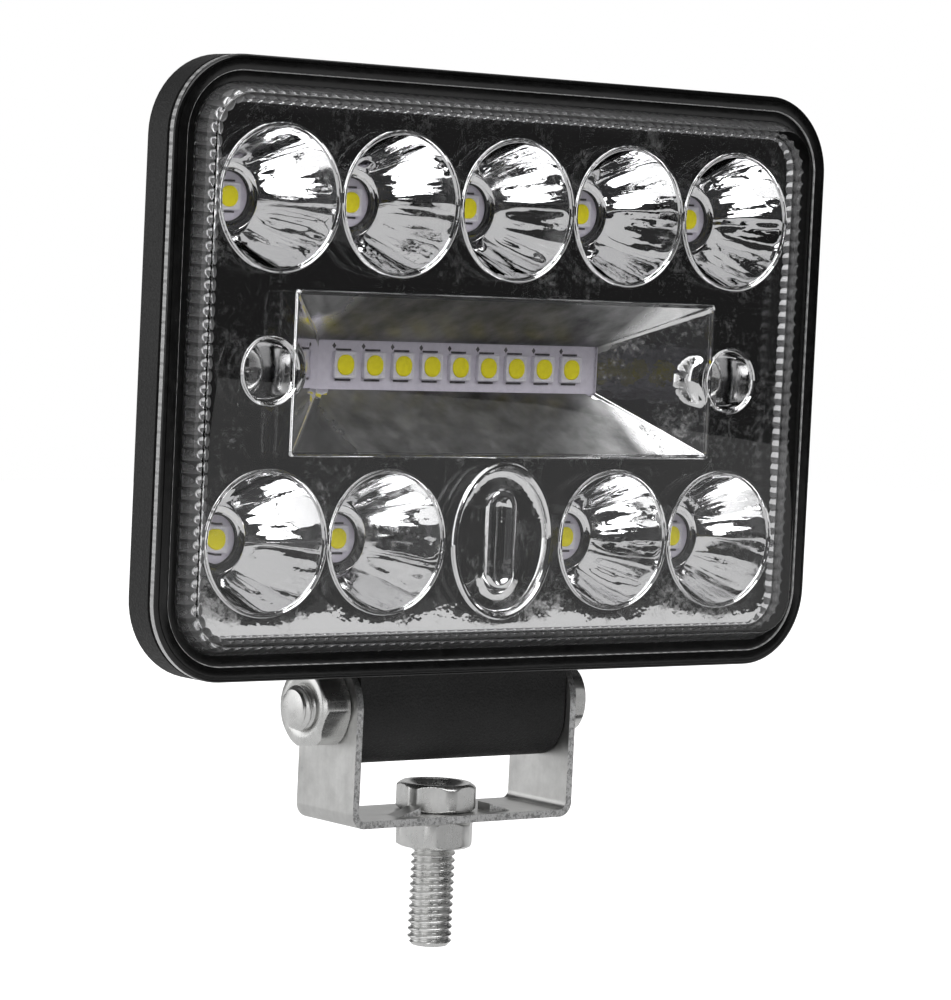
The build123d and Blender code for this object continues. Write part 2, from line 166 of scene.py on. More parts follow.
class Nodes:
    """Shorthand for wiring a material's nodes. Coordinates and bump heights are in metres."""

    MIX_FACTOR, MIX_FIRST, MIX_SECOND, MIX_RESULT = 0, 6, 7, 2   # a Mix node's colour sockets

    def __init__(self, surface):
        self.tree = surface.node_tree
        self.shader = self.tree.nodes["Principled BSDF"]
        self.place = self.tree.nodes.new("ShaderNodeTexCoord").outputs["Object"]

    def link(self, source, target):
        self.tree.links.new(source, target)

    def noise(self, scale, detail=4.0, roughness=0.55, stretch=None):
        texture = self.tree.nodes.new("ShaderNodeTexNoise")
        texture.inputs["Scale"].default_value = scale
        texture.inputs["Detail"].default_value = detail
        texture.inputs["Roughness"].default_value = roughness
        self.link(self.stretched(stretch), texture.inputs["Vector"])
        return texture.outputs["Fac"]

    def stretched(self, stretch):
        if stretch is None:
            return self.place
        mapping = self.tree.nodes.new("ShaderNodeMapping")
        mapping.inputs["Scale"].default_value = stretch
        self.link(self.place, mapping.inputs["Vector"])
        return mapping.outputs["Vector"]

    def cells(self, scale):
        texture = self.tree.nodes.new("ShaderNodeTexVoronoi")
        texture.inputs["Scale"].default_value = scale
        self.link(self.place, texture.inputs["Vector"])
        return texture.outputs["Distance"]

    def bands(self, period):
        """Waves along x + z, with their period in metres."""
        texture = self.tree.nodes.new("ShaderNodeTexWave")
        texture.bands_direction = "DIAGONAL"
        # A diagonal wave of scale 1 repeats every 0.2 pi along each axis.
        texture.inputs["Scale"].default_value = 0.2 * pi / period
        self.link(self.stretched((1.0, 0.0, 1.0)), texture.inputs["Vector"])
        return texture.outputs["Fac"]

    def size_of(self, vector, axis):
        """How large one component of a vector is, whichever way it points."""
        split = self.tree.nodes.new("ShaderNodeSeparateXYZ")
        self.link(vector, split.inputs[0])
        size = self.tree.nodes.new("ShaderNodeMath")
        size.operation = "ABSOLUTE"
        self.link(split.outputs[axis], size.inputs[0])
        return size.outputs[0]

    def facing_front(self):
        """1 where the surface faces the front or the back, and 0 on its other sides."""
        coordinates = self.tree.nodes.new("ShaderNodeTexCoord")
        facing = self.size_of(coordinates.outputs["Normal"], "Y")
        return self.ramp(facing, [(0.6, 0.0), (0.9, 1.0)])

    def ramp(self, source, stops):
        """Colour ramp between two stops, each (position, colour or grey value)."""
        ramp = self.tree.nodes.new("ShaderNodeValToRGB")
        for element, (position, value) in zip(ramp.color_ramp.elements, stops):
            element.position = position
            colour = value if isinstance(value, tuple) else (value, value, value)
            element.color = (*colour, 1.0)
        self.link(source, ramp.inputs["Fac"])
        return ramp.outputs["Color"]

    def mix(self, first, second, kind="MIX", factor=0.5):
        node = self.tree.nodes.new("ShaderNodeMix")
        node.data_type = "RGBA"
        node.blend_type = kind
        if isinstance(factor, float):
            node.inputs[self.MIX_FACTOR].default_value = factor
        else:
            self.link(factor, node.inputs[self.MIX_FACTOR])
        self.link(first, node.inputs[self.MIX_FIRST])
        self.link(second, node.inputs[self.MIX_SECOND])
        return node.outputs[self.MIX_RESULT]

    def bump(self, source, height, strength=1.0, after=None):
        node = self.tree.nodes.new("ShaderNodeBump")
        node.inputs["Strength"].default_value = strength
        node.inputs["Distance"].default_value = height
        self.link(source, node.inputs["Height"])
        if after is not None:
            self.link(after, node.inputs["Normal"])
        return node.outputs["Normal"]


def gloss_black():
    """The bezel's plastic: glossy, with faint wear and unevenness."""
    surface = plain_material("gloss_black")
    n = Nodes(surface)
    n.link(n.ramp(n.noise(900.0, detail=6.0), [(0.35, 0.12), (0.75, 0.24)]),
           n.shader.inputs["Roughness"])
    n.link(n.ramp(n.noise(120.0), [(0.3, 0.002), (0.7, 0.004)]), n.shader.inputs["Base Color"])
    n.link(n.bump(n.noise(220.0, detail=2.0), 0.00003, 0.4), n.shader.inputs["Normal"])
    return surface


def textured_black():
    """The housing's coat: matt, with a fine grain."""
    surface = plain_material("textured_black")
    n = Nodes(surface)
    grain = n.cells(3200.0)
    fine = n.noise(2600.0, detail=3.0, roughness=0.6)
    n.link(n.ramp(n.noise(90.0), [(0.25, 0.004), (0.8, 0.009)]), n.shader.inputs["Base Color"])
    n.link(n.ramp(fine, [(0.3, 0.52), (0.7, 0.75)]), n.shader.inputs["Roughness"])
    first = n.bump(grain, 0.00010, 0.7)
    n.link(n.bump(fine, 0.00006, 0.6, after=first), n.shader.inputs["Normal"])
    return surface


def chrome():
    """Mirror with faint ripples, a fine grain and hazy patches."""
    surface = plain_material("reflector_chrome", (0.93, 0.93, 0.935), metallic=1.0)
    n = Nodes(surface)
    ripple = n.noise(260.0, detail=3.0, roughness=0.6)
    specks = n.noise(3000.0, detail=2.0)
    first = n.bump(ripple, 0.00011, 0.45)
    n.link(n.bump(specks, 0.000004, 0.4, after=first), n.shader.inputs["Normal"])
    patches = n.mix(n.noise(95.0, detail=5.0, roughness=0.65), n.noise(1500.0, detail=5.0),
                    factor=0.35)
    n.link(n.ramp(patches, [(0.50, 0.012), (0.66, 0.24)]), n.shader.inputs["Roughness"])
    return surface


def painted_dark_wall_metal():
    """Metal beside the LED strip with a cloudy dark base colour, a painted dark reflection on
    walls that are mirror; it turns to mirror past the strip's ends.
    """
    surface = plain_material("reflector_painted_dark_wall", metallic=1.0)
    n = Nodes(surface)
    strip_end = (4 * STRIP_PITCH + PACKAGE + 1.0) * MM
    fade = 3.5 * MM
    past_strip = n.ramp(n.size_of(n.place, "X"), [(strip_end, 0.0), (strip_end + fade, 1.0)])
    # Painted dark reflection: the cloudy dark base colour of the long walls.
    painted_dark_cloud = n.ramp(n.noise(110.0, detail=5.0, roughness=0.6), [(0.32, 0.07), (0.68, 0.36)])
    mirror = n.ramp(n.noise(400.0), [(0.3, 0.90), (0.7, 0.94)])
    n.link(n.mix(painted_dark_cloud, mirror, factor=past_strip), n.shader.inputs["Base Color"])
    grain = n.noise(420.0)
    matt = n.ramp(grain, [(0.3, 0.28), (0.7, 0.5)])
    polished = n.ramp(grain, [(0.3, 0.03), (0.7, 0.10)])
    n.link(n.mix(matt, polished, factor=past_strip), n.shader.inputs["Roughness"])
    n.link(n.bump(n.noise(300.0, detail=4.0), 0.00008, 0.5), n.shader.inputs["Normal"])
    return surface


def painted_gap_shade():
    """Painted shade: a dark ring at the edge of a bowl's LED hole, where the gap round the LED
    lies in shade.
    """
    return speckled("painted_gap_shade", (0.01, 0.01, 0.01), (0.03, 0.03, 0.03), 0.5)


ACRYLIC_IOR = 1.49


def clear_cover():
    """Clear acrylic, with traces of haze."""
    surface = plain_material("clear_cover", (1.0, 1.0, 1.0))
    n = Nodes(surface)
    n.shader.inputs["Transmission Weight"].default_value = 1.0
    n.shader.inputs["IOR"].default_value = ACRYLIC_IOR
    n.link(n.ramp(n.noise(700.0, detail=5.0), [(0.55, 0.0), (0.9, 0.03)]),
           n.shader.inputs["Roughness"])
    return surface


def frosted_ribs():
    """The cover's ribbed edge: clear with a little haze, so its ribs catch the light."""
    surface = plain_material("frosted_ribs", (0.86, 0.86, 0.87))
    n = Nodes(surface)
    n.shader.inputs["Transmission Weight"].default_value = 0.86
    n.shader.inputs["IOR"].default_value = ACRYLIC_IOR
    n.link(n.ramp(n.noise(500.0, detail=4.0), [(0.35, 0.02), (0.75, 0.09)]),
           n.shader.inputs["Roughness"])
    return surface


def beaded_painted_highlight():
    """Painted highlight: a lighter grey band on the black bezel, with a row of small beads that
    are bump only.
    """
    surface = plain_material("beaded_painted_highlight", (0.26, 0.26, 0.26), roughness=0.22)
    n = Nodes(surface)
    n.shader.inputs["Specular IOR Level"].default_value = 1.0
    n.link(n.bump(n.bands(1.7 * MM), 0.00035, 1.0), n.shader.inputs["Normal"])
    return surface


def sheared_zinc(name, colour, roughness, streaks):
    """Zinc whose cut edges, which face the front and back, are rough and torn."""
    surface = zinc(name, colour, roughness, streaks)
    n = Nodes(surface)
    torn = n.noise(2200.0, detail=4.0, roughness=0.7, stretch=(1.0, 0.4, 1.0))
    edge = n.facing_front()
    plain = n.shader.inputs["Base Color"].links[0].from_socket
    cut = n.ramp(torn, [(0.38, 0.45), (0.55, 0.95)])
    n.link(n.mix(plain, cut, factor=edge), n.shader.inputs["Base Color"])
    return surface


def zinc(name, colour, roughness, streaks):
    """Zinc-plated steel: mottled, with drawn streaks along one direction."""
    surface = plain_material(name, metallic=1.0)
    n = Nodes(surface)
    mottle = n.noise(260.0, detail=6.0, roughness=0.65)
    drawn = n.noise(900.0, detail=4.0, stretch=streaks)
    dark = tuple(0.78 * value for value in colour)
    light = tuple(min(1.0, 1.08 * value) for value in colour)
    tone = n.ramp(mottle, [(0.3, dark), (0.72, light)])
    lines = n.ramp(drawn, [(0.3, 0.82), (0.7, 1.0)])
    n.link(n.mix(tone, lines, "MULTIPLY", 0.6), n.shader.inputs["Base Color"])
    n.link(n.ramp(n.mix(mottle, drawn), [(0.3, roughness * 0.75), (0.7, roughness * 1.35)]),
           n.shader.inputs["Roughness"])
    first = n.bump(drawn, 0.00002, 0.5)
    n.link(n.bump(n.noise(1800.0, detail=3.0), 0.00002, 0.4, after=first),
           n.shader.inputs["Normal"])
    return surface


def speckled(name, low, high, roughness, scale=1500.0, height=0.00002):
    """Non-metal with a fine two-tone speckle and grain."""
    surface = plain_material(name, roughness=roughness)
    n = Nodes(surface)
    grain = n.noise(scale, detail=4.0)
    n.link(n.ramp(grain, [(0.3, low), (0.7, high)]), n.shader.inputs["Base Color"])
    n.link(n.bump(grain, height, 0.5), n.shader.inputs["Normal"])
    return surface


# ---------------------------------------------------------------- mesh helpers
class Surface:
    """Points and faces of one mesh, gathered loop by loop."""

    def __init__(self):
        self.points = []
        self.faces = []
        self.flat = set()

    def loop(self, points):
        start = len(self.points)
        self.points.extend(points)
        return list(range(start, len(self.points)))

    def bridge(self, first, second):
        """Quads between two closed loops of the same length."""
        count = len(first)
        for i in range(count):
            j = (i + 1) % count
            self.faces.append((first[i], first[j], second[j], second[i]))

    def cap(self, loop, flip=False):
        self.flat_face(reversed(loop) if flip else loop)

    def flat_face(self, corners):
        """A face that keeps its own flat shading beside smooth neighbours."""
        self.flat.add(len(self.faces))
        self.faces.append(tuple(corners))

    def skin(self, loops, capped=(False, False), closed=False):
        """Bridge a list of loops of points in order, with caps at the ends if asked."""
        rows = [self.loop(points) for points in loops]
        for first, second in zip(rows, rows[1:]):
            self.bridge(first, second)
        if closed:
            self.bridge(rows[-1], rows[0])
        if capped[0]:
            self.cap(rows[0], flip=True)
        if capped[1]:
            self.cap(rows[-1])
        return rows


WELD = 2e-7   # points nearer than this, in metres, become one


def finish_piece(name, surface, material, body, replaced=(), crease=35.0):
    """Make an object from a Surface: weld, point the faces outwards, smooth, and attach it."""
    mesh = bpy.data.meshes.new(name)
    mesh.from_pydata(surface.points, [], surface.faces)
    smooth = [index not in surface.flat for index in range(len(surface.faces))]
    mesh.polygons.foreach_set("use_smooth", smooth)
    shape = bmesh.new()
    shape.from_mesh(mesh)
    bmesh.ops.remove_doubles(shape, verts=shape.verts, dist=WELD)
    bmesh.ops.recalc_face_normals(shape, faces=shape.faces)
    shape.to_mesh(mesh)
    shape.free()
    mesh.set_sharp_from_angle(angle=radians(crease))
    mesh.materials.append(material)
    piece = bpy.data.objects.new(name, mesh)
    bpy.context.collection.objects.link(piece)
    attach(piece, body)
    if replaced:
        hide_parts(*replaced)
    return piece


def second_material(piece, material, chosen):
    """Give a further material to the faces whose middle is chosen, by (x, depth, z)."""
    mesh = piece.data
    mesh.materials.append(material)
    index = len(mesh.materials) - 1
    for polygon in mesh.polygons:
        x, y, z = (value / MM for value in polygon.center)
        if chosen(x, y - FRONT_Y, z - LAMP_Z):
            polygon.material_index = index


def rounded_rectangle(half_w, half_h, radius, per_corner, per_side=1):
    """Points of a rounded rectangle, anticlockwise, as (x, z); the same count at any size."""
    points = []
    corners = [(half_w - radius, half_h - radius, 0), (radius - half_w, half_h - radius, 90),
               (radius - half_w, radius - half_h, 180), (half_w - radius, radius - half_h, 270)]
    for index, (x, z, start) in enumerate(corners):
        for step in range(per_corner + 1):
            angle = radians(start + 90 * step / per_corner)
            points.append((x + radius * cos(angle), z + radius * sin(angle)))
        following = corners[(index + 1) % 4]
        angle = radians(start + 90)
        ahead = (following[0] + radius * cos(angle), following[1] + radius * sin(angle))
        last = points[-1]
        for step in range(1, per_side):
            share = step / per_side
            points.append((last[0] + (ahead[0] - last[0]) * share,
                           last[1] + (ahead[1] - last[1]) * share))
    return points


def circle(x, z, radius, count):
    return [(x + radius * cos(tau * i / count), z + radius * sin(tau * i / count))
            for i in range(count)]


def at_depth(outline, depth):
    return [head_point(x, depth, z) for x, z in outline]


def arc(centre, radius, start, end, steps):
    """Points on an arc in a profile, angles in degrees."""
    points = []
    for step in range(steps + 1):
        angle = radians(start + (end - start) * step / steps)
        points.append((centre[0] + radius * cos(angle), centre[1] + radius * sin(angle)))
    return points


# ---------------------------------------------------------------- bezel
BEZEL_CORNER = 10.5
WINDOW_HALF_W = 51.45
# The outer band and the small step carry a painted highlight: a lighter grey base colour on the
# black bezel.
RIM_BAND = (0.3, 1.1)       # depths of the outer band that carries the bead row
STEP_BAND = (1.97, 2.12)    # insets of the small step inside the front edge


def make_bezel():
    """Gloss black front frame: rounded edge, a fine groove, a step and a window edge."""
    edge = 0.4
    window_inset = HALF_W - WINDOW_HALF_W
    back = BEZEL_THICK
    profile = [(0.35, back), (0.35, 1.25)]   # (inset from the outside, depth)
    profile += [(0.12, 1.18), (0.0, 1.05), (0.0, edge)]
    profile += arc((edge, edge), edge, 180, 270, 6)
    profile += [(0.50, 0.0), (0.56, 0.12), (0.64, 0.12), (0.70, 0.0)]
    profile += [(1.95, 0.0), (2.0, 0.02), (2.05, 0.08), (2.08, 0.25)]
    profile += [(window_inset - 0.15, 0.25), (window_inset - 0.04, 0.29), (window_inset, 0.4)]
    profile += [(window_inset, 1.1), (1.8, 1.1), (1.8, back)]
    loops = []
    for inset, depth in profile:
        outline = rounded_rectangle(HALF_W - inset, HALF_H - inset, BEZEL_CORNER - inset,
                                    per_corner=20)
        loops.append(at_depth(outline, depth))
    surface = Surface()
    surface.skin(loops, closed=True)
    piece = finish_piece("bezel_frame", surface, gloss_black(), HEAD,
                         ["bezel"], crease=28)
    # The outer band and the step get the painted highlight.
    second_material(piece, beaded_painted_highlight(), on_bezel_rim)


def on_bezel_rim(x, depth, z):
    """Whether a face belongs to the bezel's outer band or to the small step inside its edge; these
    faces get the painted highlight.
    """
    past_x = max(0.0, abs(x) - (HALF_W - BEZEL_CORNER))
    past_z = max(0.0, abs(z) - (HALF_H - BEZEL_CORNER))
    inset = BEZEL_CORNER - hypot(past_x, past_z)
    on_band = inset < 0.2 and RIM_BAND[0] < depth < RIM_BAND[1]
    return on_band or STEP_BAND[0] < inset < STEP_BAND[1]


# ---------------------------------------------------------------- lens
LENS_HALF_W, LENS_HALF_H, LENS_CORNER = 51.3, 36.0, 6.3
LENS_DRAFT = 1.1
LENS_EDGE = 0.45
LENS_BACK = 2.9
FLANGE_HALF_W, FLANGE_HALF_H, FLANGE_CORNER = 53.0, 37.5, 8.4
FLANGE_FRONT = 1.15
INSIDE_HALF_W, INSIDE_HALF_H, INSIDE_CORNER = 49.5, 34.5, 5.0
INSIDE_FRONT = LENS_FRONT + 1.55
FLUTE_PITCH = 1.64
FLUTE_STEPS = 8
FLUTE_RISE = 0.42
CORNER_FLUTES = 5


def flute_bulge(share, rise):
    """How far the wall stands in, at a number of flutes along it."""
    return rise * sin(pi * (share % 1.0)) ** 0.7


def fluted_outline(narrower, rise):
    """Rounded rectangle whose edge is a row of small arcs that bulge inwards by rise."""
    radius = INSIDE_CORNER
    half_w, half_h = INSIDE_HALF_W - narrower, INSIDE_HALF_H - narrower
    side_w = 2 * (half_w - radius)
    side_h = 2 * (half_h - radius)
    flutes_w = round(2 * (INSIDE_HALF_W - radius) / FLUTE_PITCH)
    flutes_h = round(2 * (INSIDE_HALF_H - radius) / FLUTE_PITCH)
    points = []
    quarter = [(1, 1, 0, flutes_w), (-1, 1, 90, flutes_h),
               (-1, -1, 180, flutes_w), (1, -1, 270, flutes_h)]
    for sx, sz, start, flutes in quarter:
        centre = (sx * (half_w - radius), sz * (half_h - radius))
        for step in range(CORNER_FLUTES * FLUTE_STEPS):
            share = step / FLUTE_STEPS
            angle = radians(start + 90 * share / CORNER_FLUTES)
            reach = radius - flute_bulge(share, rise)
            points.append((centre[0] + reach * cos(angle), centre[1] + reach * sin(angle)))
        angle = radians(start + 90)
        outward = (cos(angle), sin(angle))
        along = (-sin(angle), cos(angle))
        length = side_w if start in (0, 180) else side_h
        begin = (centre[0] + radius * outward[0], centre[1] + radius * outward[1])
        for step in range(flutes * FLUTE_STEPS):
            share = step / FLUTE_STEPS
            bulge = flute_bulge(share, rise)
            travel = length * share / flutes
            points.append((begin[0] + along[0] * travel - outward[0] * bulge,
                           begin[1] + along[1] * travel - outward[1] * bulge))
    return points


def make_lens():
    """Clear cover: smooth drafted outside, fluted inside wall, and a flange behind the bezel."""

    def outside(grow, depth):
        return at_depth(rounded_rectangle(LENS_HALF_W + grow, LENS_HALF_H + grow,
                                          LENS_CORNER + grow, per_corner=20), depth)

    flange = rounded_rectangle(FLANGE_HALF_W, FLANGE_HALF_H, FLANGE_CORNER, per_corner=20)
    outer = [at_depth(flange, LENS_BACK), at_depth(flange, FLANGE_FRONT),
             outside(0.0, FLANGE_FRONT), outside(0.0, 0.0),
             outside(-0.55 * LENS_DRAFT, LENS_FRONT * 0.5)]
    for step in range(7):
        angle = radians(90 * step / 6)
        grow = -LENS_DRAFT + LENS_EDGE * 0.8 * (cos(angle) - 1)
        outer.append(outside(grow, LENS_FRONT + LENS_EDGE * (1 - sin(angle))))
    inner = [at_depth(fluted_outline(narrower, rise), depth)
             for narrower, rise, depth in ((0.0, 0.0, LENS_BACK),
                                           (0.0, FLUTE_RISE, 1.6),
                                           (0.05, FLUTE_RISE, 0.4),
                                           (0.15, FLUTE_RISE, INSIDE_FRONT + 0.25),
                                           (0.3, FLUTE_RISE * 0.9, INSIDE_FRONT))]
    surface = Surface()
    outer_rows = surface.skin(outer, capped=(False, True))
    inner_rows = surface.skin(inner, capped=(False, True))
    join_rings(surface, outer_rows[0], inner_rows[0])
    piece = finish_piece("lens_cover", surface, clear_cover(), HEAD,
                         ["lens"], crease=40)
    piece.visible_shadow = False
    second_material(piece, frosted_ribs(), on_flutes)


def on_flutes(x, depth, z):
    """Whether a face belongs to the fluted inside wall."""
    past_x = max(0.0, abs(x) - (INSIDE_HALF_W - INSIDE_CORNER))
    past_z = max(0.0, abs(z) - (INSIDE_HALF_H - INSIDE_CORNER))
    inside = hypot(past_x, past_z) < INSIDE_CORNER + 0.02
    return inside and INSIDE_FRONT + 0.05 < depth < LENS_BACK - 0.05


def join_rings(surface, outer, inner):
    """Fill the flat ring between two loops that have different numbers of points."""
    outer_points = [surface.points[i] for i in outer]
    inner_points = [surface.points[i] for i in inner]
    flat = [Vector((x / MM, z / MM)) for x, y, z in outer_points + inner_points]
    first = len(outer)
    edges = [(i, (i + 1) % first) for i in range(first)]
    edges += [(first + i, first + (i + 1) % len(inner)) for i in range(len(inner))]
    points, _, triangles, origin, _, _ = triangulated(flat, edges)
    index = outer + inner
    inner_flat = flat[first:]
    for triangle in triangles:
        middle = sum((points[v] for v in triangle), Vector((0, 0))) / 3
        if not inside_outline(middle, inner_flat):
            surface.flat_face(index[origin[v][0]] for v in triangle)


def triangulated(points, edges):
    """Delaunay triangles inside the outer edges: points, edges, faces, and where each is from."""
    keep_inside, tolerance = 1, 1e-9
    return geometry.delaunay_2d_cdt(points, edges, [], keep_inside, tolerance)


def inside_outline(point, outline):
    """Whether a 2-D point lies inside a closed outline."""
    inside = False
    count = len(outline)
    for i in range(count):
        a, b = outline[i], outline[(i + 1) % count]
        if (a[1] > point[1]) != (b[1] > point[1]):
            if point[0] < (b[0] - a[0]) * (point[1] - a[1]) / (b[1] - a[1]) + a[0]:
                inside = not inside
    return inside


# ---------------------------------------------------------------- reflector
PLATE_HALF_W, PLATE_HALF_H, PLATE_CORNER = 49.0, 33.95, 4.6
CUP_RIM, CUP_MOUTH, CUP_NECK = 9.55, 9.1, 4.5
NECK_DEPTH, CUP_FLOOR = 10.0, 10.2
CUP_HOLE = 3.15
CUP_COUNT = 144                  # points round a bowl
RIPPLE, RIPPLE_WAVES = 0.36, 2.6
FINE_RIPPLE, FINE_WAVES = 0.12, 5.0
PLATE_EDGE = 0.6                 # radius rolled round the plate's rim
PLATE_SKIRT = 1.6
SHELL_THICK = 0.7
HOLE_END = BOARD_DEPTH - PLATE_FACE - 0.05
TROUGH_HALF_W, TROUGH_HALF_H, TROUGH_RISE = 34.9, 10.2, -0.2
SLOT_HALF_W, SLOT_HALF_H = 23.4, 3.2
BOSS_X, BOSS_RADIUS, BOSS_TOP, BOSS_ROUND = 36.9, 5.1, 0.25, 2.2
RECESS_RADIUS, RECESS_RIM, RECESS_HOLE = 4.15, 4.55, 1.7
RECESS_COUNT = 64
SCREW_HEAD = 2.0
RECESS_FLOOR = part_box("reflector_screws")[0].y / MM + SCREW_HEAD - FRONT_Y - PLATE_FACE
OVAL_HALF_W, OVAL_HALF_H, OVAL_Z = 8.5, 10.5, -21.8


def plate_point(x, depth, z):
    """Point on the reflector: depth to the rear of its plate."""
    return head_point(x, PLATE_FACE + depth, z)


def on_plate(outline, depth):
    return [plate_point(x, depth, z) for x, z in outline]


def bowl_ring(x, z, radius, depth):
    """One ring of a bowl, its wall rippled from rim to neck as moulded chrome is."""
    share = min(1.0, max(0.0, depth / NECK_DEPTH))
    rim_fade, neck_fade = 9 * share, 5 * (1 - share)
    height = RIPPLE * min(1.0, rim_fade, neck_fade)
    ring = []
    for i in range(CUP_COUNT):
        angle = tau * i / CUP_COUNT
        spot = Vector((RIPPLE_WAVES * cos(angle) + x, RIPPLE_WAVES * sin(angle) + z, 0.05 * depth))
        wave = noise.noise(spot) + FINE_RIPPLE * noise.noise(FINE_WAVES * spot)
        reach = radius + height * wave
        ring.append(plate_point(x + reach * cos(angle), depth, z + reach * sin(angle)))
    return ring


def bowl_profile():
    """(radius, depth) from the plate over the rim and down the bowl to its LED hole."""
    profile = [(CUP_RIM, 0.0), (CUP_RIM - 0.05, -0.2)]
    profile += [(CUP_RIM - 0.15, -RIM_RISE + 0.03), (CUP_RIM - 0.27, -RIM_RISE)]
    profile += [(CUP_MOUTH + 0.06, -RIM_RISE + 0.06), (CUP_MOUTH, -0.12)]
    shrink = (CUP_MOUTH ** 2 - CUP_NECK ** 2) / NECK_DEPTH
    rows = 26
    for row in range(rows + 1):
        depth = NECK_DEPTH * row / rows
        profile.append((sqrt(CUP_MOUTH ** 2 - shrink * depth), depth))
    profile += [(CUP_NECK - 0.08, CUP_FLOOR - 0.05), (CUP_NECK - 0.2, CUP_FLOOR)]
    profile += [(CUP_HOLE + 0.15, CUP_FLOOR)]
    profile += [(CUP_HOLE, CUP_FLOOR + 0.12), (CUP_HOLE, HOLE_END)]
    return profile


def recess_profile():
    """(radius, depth) from the plate over the rim, down to the screw's seat and its hole."""
    return [(RECESS_RIM, 0.0), (RECESS_RIM - 0.05, -0.2), (RECESS_RIM - 0.2, -RIM_RISE),
            (RECESS_RADIUS, -0.2), (RECESS_RADIUS - 0.05, 0.3),
            (RECESS_RADIUS - 0.25, RECESS_FLOOR - 0.4), (RECESS_RADIUS - 0.6, RECESS_FLOOR),
            (RECESS_HOLE + 0.05, RECESS_FLOOR), (RECESS_HOLE, RECESS_FLOOR + 0.1),
            (RECESS_HOLE, HOLE_END)]


def oval_loops():
    """Raised rim and sunken floor of the oval pad, with a plain raised capsule on it."""
    count = CUP_COUNT
    profile = [(0.0, 0.0), (0.06, -0.25), (0.25, -0.42), (0.55, -0.42), (0.85, -0.2),
               (1.05, 0.35), (1.3, 0.62), (1.8, 0.7)]
    loops = []
    for inset, depth in profile:
        half_w, half_h = OVAL_HALF_W - inset, OVAL_HALF_H - inset
        loops.append([(half_w * cos(tau * i / count),
                       OVAL_Z + half_h * sin(tau * i / count), depth) for i in range(count)])
    capsule_rise = 4.4
    capsule = [(2.9, 0.72), (2.55, 0.62), (2.3, 0.2), (1.95, 0.02), (1.4, 0.02),
               (1.1, 0.3), (0.8, 0.45), (0.3, 0.5)]
    for radius, depth in capsule:
        ring = []
        for i in range(count):
            angle = tau * i / count
            lift = capsule_rise if sin(angle) >= 0 else -capsule_rise
            ring.append((radius * cos(angle), OVAL_Z + lift + radius * sin(angle), depth))
        loops.append(ring)
    return loops


def trough_loops():
    """Mouth lip, sloping walls with the screw bosses bulging in, and the LED slot."""
    per_corner, per_side = 3, 60
    steps = 34
    mouth_corner, slot_corner = 0.5, 0.25
    lip_end = 0.05
    loops = []
    for grow, depth in ((0.45, 0.0), (0.4, -0.2), (0.28, -0.32), (0.08, -0.24), (0.0, lip_end)):
        outline = rounded_rectangle(TROUGH_HALF_W + grow, TROUGH_HALF_H + grow, mouth_corner,
                                    per_corner, per_side)
        loops.append([(x, z + TROUGH_RISE, depth) for x, z in outline])
    for step in range(1, steps + 1):
        share = step / steps
        half_w = TROUGH_HALF_W + (SLOT_HALF_W - TROUGH_HALF_W) * share
        half_h = TROUGH_HALF_H + (SLOT_HALF_H - TROUGH_HALF_H) * share
        rise = TROUGH_RISE + (SLOT_RISE - TROUGH_RISE) * share
        corner = mouth_corner + (slot_corner - mouth_corner) * share
        outline = rounded_rectangle(half_w, half_h, corner, per_corner, per_side)
        depth = lip_end + (CUP_FLOOR - lip_end) * share
        loops.append([(x, z + rise, boss_depth(x, z + rise, depth)) for x, z in outline])
    outline = rounded_rectangle(SLOT_HALF_W, SLOT_HALF_H, slot_corner, per_corner, per_side)
    loops.append([(x, z + SLOT_RISE, HOLE_END) for x, z in outline])
    return loops


def boss_depth(x, z, depth):
    """The screw boss stands out of the trough's end wall, with a rounded top edge."""
    away = hypot(abs(x) - BOSS_X, z)
    if away >= BOSS_RADIUS:
        return depth
    past = max(0.0, away - (BOSS_RADIUS - BOSS_ROUND))
    top = BOSS_TOP + BOSS_ROUND - sqrt(max(0.0, BOSS_ROUND ** 2 - past ** 2))
    return min(depth, top)


def make_reflector():
    """Chromed plate with bowls, trough, screw recesses and oval pad, as one thin shell."""
    surface = Surface()
    holes = []
    for x, z in CUPS:
        surface.skin([bowl_ring(x, z, radius, depth) for radius, depth in bowl_profile()])
        holes.append(circle(x, z, CUP_RIM, CUP_COUNT))
    for x, z in SCREWS:
        surface.skin([on_plate(circle(x, z, radius, RECESS_COUNT), depth)
                      for radius, depth in recess_profile()])
        holes.append(circle(x, z, RECESS_RIM, RECESS_COUNT))
    for loops, floor in ((oval_loops(), True), (trough_loops(), False)):
        surface.skin([[plate_point(x, depth, z) for x, z, depth in ring] for ring in loops],
                     capped=(False, floor))
        holes.append([(x, z) for x, z, depth in loops[0]])

    fill_plate(surface, plate_outline(PLATE_EDGE), holes)
    rolled = [on_plate(plate_outline(PLATE_EDGE * (1 - sin(radians(angle)))),
                       PLATE_EDGE * (1 - cos(radians(angle)))) for angle in range(0, 91, 15)]
    surface.skin(rolled + [on_plate(plate_outline(0.0), PLATE_SKIRT)])
    piece = finish_piece("reflector_shell", surface, chrome(), HEAD,
                         ["reflector"], crease=32)
    face_front(piece)
    # The trough's long walls get the painted dark reflection.
    second_material(piece, painted_dark_wall_metal(), on_long_wall)
    # The edge of each LED hole gets the painted shade.
    second_material(piece, painted_gap_shade(), on_hole_edge)
    thickness = piece.modifiers.new("thickness", "SOLIDIFY")
    thickness.thickness = SHELL_THICK * MM
    thickness.offset = -1.0


